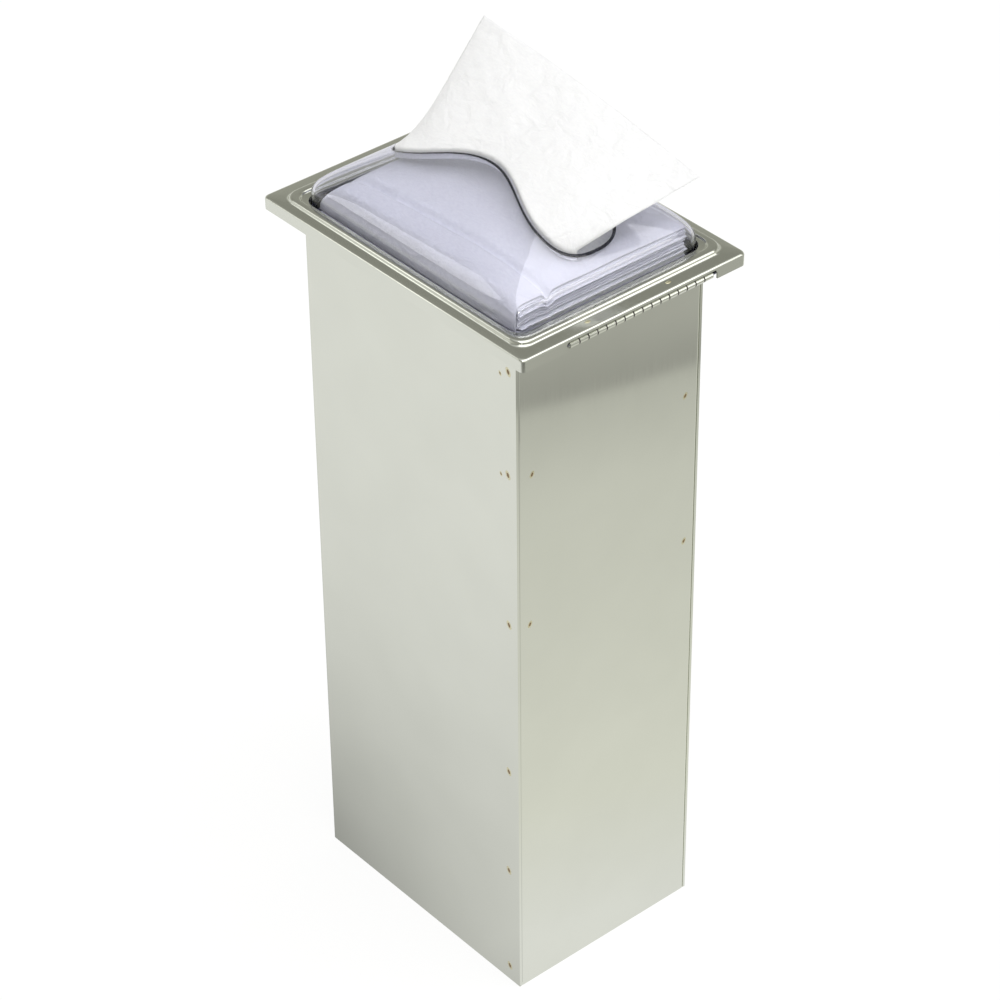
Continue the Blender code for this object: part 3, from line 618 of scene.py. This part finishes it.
crownSettings = {"sheets": 15, "columns": 56, "rows": 44, "seed": 23, "halfX": 81.5 * mm,
                 "halfY": 60 * mm, "ply": 0.75 * mm, "plyEdge": 0.25 * mm, "foot": 0.8 * mm,
                 "shift": 1.1 * mm, "turn": 0.008, "inset": 0.985, "ripple": 0.7 * mm,
                 "rippleScale": 34,
                 "level": 475.5 * mm, "bulge": 11.5 * mm, "endDrop": 9 * mm, "endFrom": 0.72,
                 "frontRise": 3.5 * mm, "frontSoft": 7 * mm, "frontFold": 5 * mm,
                 "frontShare": 0.14, "foldDip": 0.5, "topFoldDip": 0.9,
                 "crease": -42 * mm, "creaseDepth": 4.2 * mm, "creaseWidth": 2.4 * mm,
                 "creaseSkew": 3 * mm}


def crownTop(x, y, s=crownSettings):
    # the top sheet: bulging below the slot, creased along its front, and lower at the left end
    u, v = x / s["halfX"], y / s["halfY"]
    bulge = (1 - min(abs(u), 1) ** 3) * (1 - min(abs(v), 1) ** 2.2)
    front = 1 / (1 + math.exp((y - s["crease"]) / s["frontSoft"]))
    leftEnd = max(0.0, -u - s["endFrom"]) / (1 - s["endFrom"])
    fromCrease = (y - s["crease"] - s["creaseSkew"] * u) / s["creaseWidth"]
    z = s["level"] + s["bulge"] * bulge ** 0.85 + s["frontRise"] * front * (1 - abs(u) ** 6)
    z -= s["endDrop"] * leftEnd ** 2.2
    return z - s["creaseDepth"] * math.exp(-fromCrease ** 2) * (1 - leftEnd)


def foldedSheet(index, rng, s=crownSettings):
    # each sheet lies a share of the way up; the top one is folded down over the front
    share = (index + 1) / s["sheets"]
    top = index == s["sheets"] - 1
    bottom = crownLow.z + s["foot"]
    dx = 0.0 if top else rng.uniform(-1, 1) * s["shift"]
    dy = 0.0 if top else rng.uniform(0, 1) * s["shift"]
    turn = rng.uniform(-s["turn"], s["turn"])
    rows = s["rows"] * (3 if top else 1)
    halfX, halfY, fold, front = s["halfX"], s["halfY"], s["frontFold"], s["frontShare"]
    bm = bmesh.new()
    bmesh.ops.create_grid(bm, x_segments=s["columns"], y_segments=rows, size=0.5)
    for vert in bm.verts:
        x0, along = vert.co.x * 2 * halfX, vert.co.y + 0.5
        drop = 0.0
        if not top:
            y0 = (along - 0.5) * 2 * halfY * s["inset"]
        elif along < front:
            # the first part of the way runs up the front
            y0, drop = -halfY, 1 - along / front
        else:
            y0 = -halfY + (along - front) / (1 - front) * 2 * halfY
        x = x0 * math.cos(turn) - y0 * math.sin(turn) + dx
        y = x0 * math.sin(turn) + y0 * math.cos(turn) + dy
        z = bottom + (crownTop(x, max(y, -halfY)) - bottom) * share
        near = y + halfY
        if near < fold:
            lean = 1 - near / fold
            dip = s["topFoldDip"] if top else s["foldDip"]
            z -= fold * (1 - math.sqrt(max(0.0, 1 - lean * lean))) * dip
        z = bottom + (z - bottom) * (1 - drop)
        waves = noise.noise(Vector((x * s["rippleScale"], y * s["rippleScale"], index * 0.31)))
        ripple = waves * s["ripple"]
        vert.co = Vector((x, y, z + ripple * share * (1 - drop)))
    faceUp(bm)
    piece = makePiece(f"topNapkin{index + 1:02d}", bm, stackPaper, "housing",
                      sharpAngle=80)
    addShell(piece, s["ply"])
    addBevel(piece, s["plyEdge"], segments=2)
    return piece


def topNapkins(s=crownSettings):
    rng = random.Random(s["seed"])
    sheets = [foldedSheet(index, rng) for index in range(s["sheets"])]
    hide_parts("top_napkins")


lowerStack()
topNapkins()
print("napkin stack made")


springLow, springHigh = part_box("follower_spring")
springSettings = {"wire": 0.9 * mm, "radius": 25 * mm, "turns": 12, "perTurn": 32, "sides": 10}


def liftSpring(s=springSettings):
    bm = bmesh.new()
    bmesh.ops.create_circle(bm, cap_ends=False, segments=s["sides"], radius=s["wire"])
    bmesh.ops.rotate(bm, verts=bm.verts, matrix=Matrix.Rotation(math.pi / 2, 3, "X"))
    low, high = springLow.z + s["wire"], springHigh.z - s["wire"]
    bmesh.ops.translate(bm, verts=bm.verts, vec=(s["radius"], 0, low))
    steps = s["turns"] * s["perTurn"]
    bmesh.ops.spin(bm, geom=bm.verts[:] + bm.edges[:], cent=(0, 0, 0), axis=(0, 0, 1),
                   dvec=(0, 0, (high - low) / steps), angle=2 * math.pi * s["turns"], steps=steps)
    bmesh.ops.holes_fill(bm, edges=[e for e in bm.edges if e.is_boundary], sides=s["sides"])
    bmesh.ops.recalc_face_normals(bm, faces=bm.faces)
    piece = makePiece("liftSpring", bm, wireSteel, None, sharpAngle=60)
    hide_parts("follower_spring")
    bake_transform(piece)


liftSpring()
print("spring made")


bodyLow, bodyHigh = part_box("housing_wrap")
# a weld's inset from the corner and its height, in mm; the same rows run down the far wall
weldSettings = {"long": 1.7 * mm, "wide": 1.05 * mm, "proud": 0.08 * mm, "tilt": 25,
                "front": [(6.1, 439), (6.9, 372), (7.1, 270), (8.3, 163), (9.1, 87), (9.0, 11)],
                "faint": [(12.6, 435), (12.6, 370)], "faintShare": 0.55,
                "side": [(11.0, 371), (9.1, 270)], "sideShare": 0.8,
                "halo": 1.75, "haloProud": 0.45}


def spotWelds(name, material, grow, proud, s=weldSettings):
    # each spot is a flat round pad, a little longer than wide and tilted in the wall
    bm = bmesh.new()
    for side in (-1, 1):
        spots = []
        for row, share in (("front", 1.0), ("faint", s["faintShare"])):
            for inset, height in s[row]:
                place = Vector((bodyHigh.x - inset * mm, side * bodyHigh.y, height * mm))
                spots.append((place, Vector((0, side, 0)), s["tilt"], share * grow))
        for inset, height in s["side"]:
            place = Vector((bodyHigh.x, side * (bodyHigh.y - inset * mm), height * mm))
            spots.append((place, Vector((1, 0, 0)), -s["tilt"], s["sideShare"] * grow))
        for place, normal, tilt, share in spots:
            facing = normal.to_track_quat("Z", "Y").to_matrix().to_4x4()
            turned = facing @ Matrix.Rotation(math.radians(tilt), 4, "Z")
            flat = Matrix.Diagonal((s["wide"] * share, s["long"] * share, s["proud"] * proud, 1))
            bmesh.ops.create_uvsphere(bm, u_segments=14, v_segments=8, radius=1,
                                      matrix=Matrix.Translation(place) @ turned @ flat)
    makePiece(name, bm, material, "housing", sharpAngle=80)


seamSettings = {"wide": 1.1 * mm, "deep": 0.6 * mm, "proud": 0.01 * mm, "inset": 1.05 * mm}


def seamWelds(s=seamSettings):
    # the ground-flush weld that closes the joint between the end panel and the wrap
    bm = bmesh.new()
    for side in (-1, 1):
        size = Vector((s["deep"] + s["proud"], s["wide"], bodyHigh.z - bodyLow.z))
        addBlock(bm, Vector((bodyHigh.x + s["proud"] - size.x / 2, side * (bodyHigh.y - s["inset"]),
                             (bodyLow.z + bodyHigh.z) / 2)), size)
    makePiece("seamWelds", bm, wallSteel, "housing", sharpAngle=50)


gapSettings = {"x": 107.1 * mm, "z": 458.9 * mm, "middle": 4.5 * mm, "length": 101.6 * mm,
               "knuckles": 16, "radius": 1.95 * mm, "wide": 0.8 * mm}


def hingeGapShade(s=gapSettings):
    # painted shade: a dark ring stands in for the shade in the gap at each end of a hinge knuckle
    bm = bmesh.new()
    pitch = s["length"] / s["knuckles"]
    across = Matrix.Rotation(math.radians(90), 4, "X")
    for index in range(1, s["knuckles"]):
        y = s["middle"] - s["length"] / 2 + index * pitch
        bmesh.ops.create_cone(bm, cap_ends=True, segments=20, radius1=s["radius"],
                              radius2=s["radius"], depth=s["wide"],
                              matrix=Matrix.Translation((s["x"], y, s["z"])) @ across)
    makePiece("hingeGapShade", bm, gapShade, "housing", sharpAngle=50)


markSettings = {"x": 103 * mm, "y": (-29.5, 27.7), "size": (1.2, 1.9, 0.3)}  # y and size in mm


def hingeWeldMarks(s=markSettings):
    # where the hinge leaf is welded below, the frame's margin shows two small raised marks
    bm = bmesh.new()
    size = Matrix.Diagonal((*[v * mm for v in s["size"]], 1))
    for y in s["y"]:
        place = Matrix.Translation((s["x"], y * mm, coverSettings["top"]))
        bmesh.ops.create_uvsphere(bm, u_segments=16, v_segments=8, radius=1, matrix=place @ size)
    makePiece("hingeWeldMarks", bm, strawTint, "cover", sharpAngle=80)


spotWelds("weldHalos", strawTint, weldSettings["halo"], weldSettings["haloProud"])
spotWelds("weldCores", weldTint, 1.0, 1.0)
seamWelds()
hingeGapShade()
hingeWeldMarks()
print("welds made")


def direction(azimuth, elevation):
    # azimuth turns from -Y towards +X, in degrees
    a, e = math.radians(azimuth), math.radians(elevation)
    return Vector((math.sin(a) * math.cos(e), -math.cos(a) * math.cos(e), math.sin(e)))


# degrees, metres and, for the lens and the sensor, mm
cameraSettings = {"place": (1.2336, -1.0501, 1.4678), "azimuth": 49.677, "elevation": 36.297,
                  "roll": -0.602, "lens": 126.09, "sensor": 36, "near": 0.05, "far": 60}


def makeCamera(s=cameraSettings):
    turn, roll = math.radians(s["azimuth"]), math.radians(s["roll"])
    back = direction(s["azimuth"], s["elevation"])
    right = Vector((math.cos(turn), math.sin(turn), 0))
    up = back.cross(right)
    turnedRight = math.cos(roll) * right + math.sin(roll) * up
    turnedUp = math.cos(roll) * up - math.sin(roll) * right
    data = bpy.data.cameras.new("camera")
    data.lens = s["lens"]
    data.sensor_width = s["sensor"]
    data.clip_start, data.clip_end = s["near"], s["far"]
    camera = addObject("camera", data)
    basis = Matrix((turnedRight, turnedUp, back)).transposed()
    camera.matrix_world = Matrix.Translation(s["place"]) @ basis.to_4x4()
    bpy.context.scene.camera = camera


floorSettings = {
    "size": 12, "glow": 1.03, "glowShare": 0.86,
    "slant": 0.35,  # the brightness changes along x + slant * y, as in the stops below
    "stops": [(0.22, 0.94), (0.34, 0.88), (0.54, 0.79), (0.61, 0.705), (0.655, 0.65),
              (0.668, 0.43), (0.69, 0.46), (0.74, 0.54)],
    "wallY": -0.067, "shadeEnd": -0.066, "fade": 11.8,  # the shade before the front wall
    "shadeX": (-0.13, 0.05), "shade": (0.62, 0.28),
    "cornerX": 0.09, "cornerReach": 0.38, "cornerLeft": 0.37}


def paintedFloorReflection(tree, place, s=floorSettings):
    # painted reflection: to the steel the floor glows in a painted pattern; it falls off to the right
    # and is darker there, it has a painted shadow close to the front wall, and painted shade towards
    # the near corner
    spot = addNode(tree, "ShaderNodeSeparateXYZ", {"Vector": place})
    x, y = spot.outputs["X"], spot.outputs["Y"]
    across = addNode(tree, "ShaderNodeMath", {0: y, 1: s["slant"], 2: x}, operation="MULTIPLY_ADD")
    far = addNode(tree, "ShaderNodeValToRGB", {"Fac": across},
                  [(0.11, grey(1.0))] + [(stop, warm(value)) for stop, value in s["stops"]])
    behind = addNode(tree, "ShaderNodeMath", {0: y, 1: -s["wallY"]}, operation="ADD")
    fade = addNode(tree, "ShaderNodeMath", {0: behind, 1: s["fade"]}, operation="MULTIPLY")
    near = addNode(tree, "ShaderNodeMath", {0: fade}, operation="EXPONENT")
    side = addNode(tree, "ShaderNodeMapRange",
                   {"Value": x, "From Min": s["shadeX"][0], "From Max": s["shadeX"][1],
                    "To Min": s["shade"][0], "To Max": s["shade"][1]})
    front = addNode(tree, "ShaderNodeMath", {0: y, 1: s["shadeEnd"]}, operation="LESS_THAN")
    darker = addNode(tree, "ShaderNodeMath", {0: near, 1: side}, operation="MULTIPLY")
    shaded = addNode(tree, "ShaderNodeMath", {0: darker, 1: front}, operation="MULTIPLY")
    pastSide = addNode(tree, "ShaderNodeMath", {0: x, 1: s["cornerX"]}, operation="SUBTRACT")
    pastFront = addNode(tree, "ShaderNodeMath", {0: s["wallY"], 1: y}, operation="SUBTRACT")
    beyond = addNode(tree, "ShaderNodeMath", {0: pastSide, 1: pastFront}, operation="MINIMUM")
    corner = addNode(tree, "ShaderNodeMapRange",
                     {"Value": beyond, "From Min": 0.0, "From Max": s["cornerReach"],
                      "To Min": 1.0, "To Max": s["cornerLeft"]})
    left = addNode(tree, "ShaderNodeMath", {0: 1.0, 1: shaded}, operation="SUBTRACT")
    strength = addNode(tree, "ShaderNodeMath", {0: left, 1: corner}, operation="MULTIPLY")
    return addNode(tree, "ShaderNodeEmission", {"Color": far, "Strength": strength})


def makeFloor(s=floorSettings):
    # painted board, matt and nearly white
    material, tree, shader, place = newMaterial("pale studio floor")
    mottle = addNode(tree, "ShaderNodeTexNoise", {"Vector": place, "Scale": 6.0})
    colour = addNode(tree, "ShaderNodeValToRGB", {"Fac": mottle},
                     [(0.3, linear("#fbfbfa")), (0.7, linear("#fdfdfc"))])
    wire(tree, shader, {"Base Color": colour, "Roughness": 0.9, "Specular IOR Level": 0.1})
    ray = addNode(tree, "ShaderNodeLightPath")
    glow = addNode(tree, "ShaderNodeEmission", {"Color": linear("#ffffff"), "Strength": s["glow"]})
    share = addNode(tree, "ShaderNodeMath", {0: ray.outputs["Is Camera Ray"], 1: s["glowShare"]},
                    operation="MULTIPLY")
    pale = addNode(tree, "ShaderNodeMixShader", {0: share, 1: shader, 2: glow})
    # glossy rays see the painted floor reflection instead of the lit floor
    mixed = addNode(tree, "ShaderNodeMixShader", {0: ray.outputs["Is Glossy Ray"], 1: pale,
                                                  2: paintedFloorReflection(tree, place)})
    wire(tree, tree.nodes["Material Output"], {"Surface": mixed})
    bm = bmesh.new()
    bmesh.ops.create_grid(bm, x_segments=1, y_segments=1, size=s["size"])
    makePiece("studioFloor", bm, material, None)


def makeSky():
    # white to the eye, a soft grey room to what reflects it
    world = bpy.data.worlds.new("studio room")
    bpy.context.scene.world = world
    world.use_nodes = True
    tree = world.node_tree
    tree.nodes.clear()
    direct = addNode(tree, "ShaderNodeLightPath").outputs["Is Camera Ray"]
    place = addNode(tree, "ShaderNodeTexCoord").outputs["Generated"]
    height = addNode(tree, "ShaderNodeSeparateXYZ", {"Vector": place}).outputs["Z"]
    room = addNode(tree, "ShaderNodeValToRGB", {"Fac": height},
                   [(0.0, [0.85, 0.85, 0.82, 1]), (0.25, [0.55, 0.55, 0.50, 1]),
                    (0.6, [0.30, 0.30, 0.27, 1]), (1.0, [0.75, 0.75, 0.74, 1])])
    seen = addNode(tree, "ShaderNodeBackground", {"Color": grey(1.0), "Strength": 1.0})
    lit = addNode(tree, "ShaderNodeBackground", {"Color": room, "Strength": 1.0})
    mixed = addNode(tree, "ShaderNodeMixShader", {0: direct, 1: lit, 2: seen})
    addNode(tree, "ShaderNodeOutputWorld", {"Surface": mixed})


sunSettings = {"azimuth": 110, "elevation": 66, "strength": 1.45, "spread": 70}
softboxSettings = {
    "keySoftbox": {"place": (1.3, -1.3, 2.6), "aim": (0, 0, 0.4), "size": (0.3, 0.3), "power": 8},
    "leftStrip": {"place": (-1.5, -1.5, 1.5), "aim": (0, 0, 0.45), "size": (0.5, 1.2), "power": 3.2},
    "rightStrip": {"place": (1.5, 1.35, 1.6), "aim": (0, 0, 0.45), "size": (0.5, 1.2), "power": 3.2}}


def addSun(name, s=sunSettings):
    data = bpy.data.lights.new(name, "SUN")
    data.energy = s["strength"]
    data.angle = math.radians(s["spread"])
    sun = addObject(name, data)
    sun.rotation_mode = "QUATERNION"
    sun.rotation_quaternion = direction(s["azimuth"], s["elevation"]).to_track_quat("Z", "Y")


def addSoftbox(name, s):
    data = bpy.data.lights.new(name, "AREA")
    data.shape = "RECTANGLE"
    data.size, data.size_y = s["size"]
    data.energy = s["power"]
    box = addObject(name, data)
    box.location = s["place"]
    box.rotation_mode = "QUATERNION"
    box.rotation_quaternion = (Vector(s["place"]) - Vector(s["aim"])).to_track_quat("Z", "Y")


bpy.context.scene.view_settings.view_transform = "Standard"
makeFloor()
makeSky()
addSun("overheadSky")
for name, settings in softboxSettings.items():
    addSoftbox(name, settings)
makeCamera()
print("studio ready")
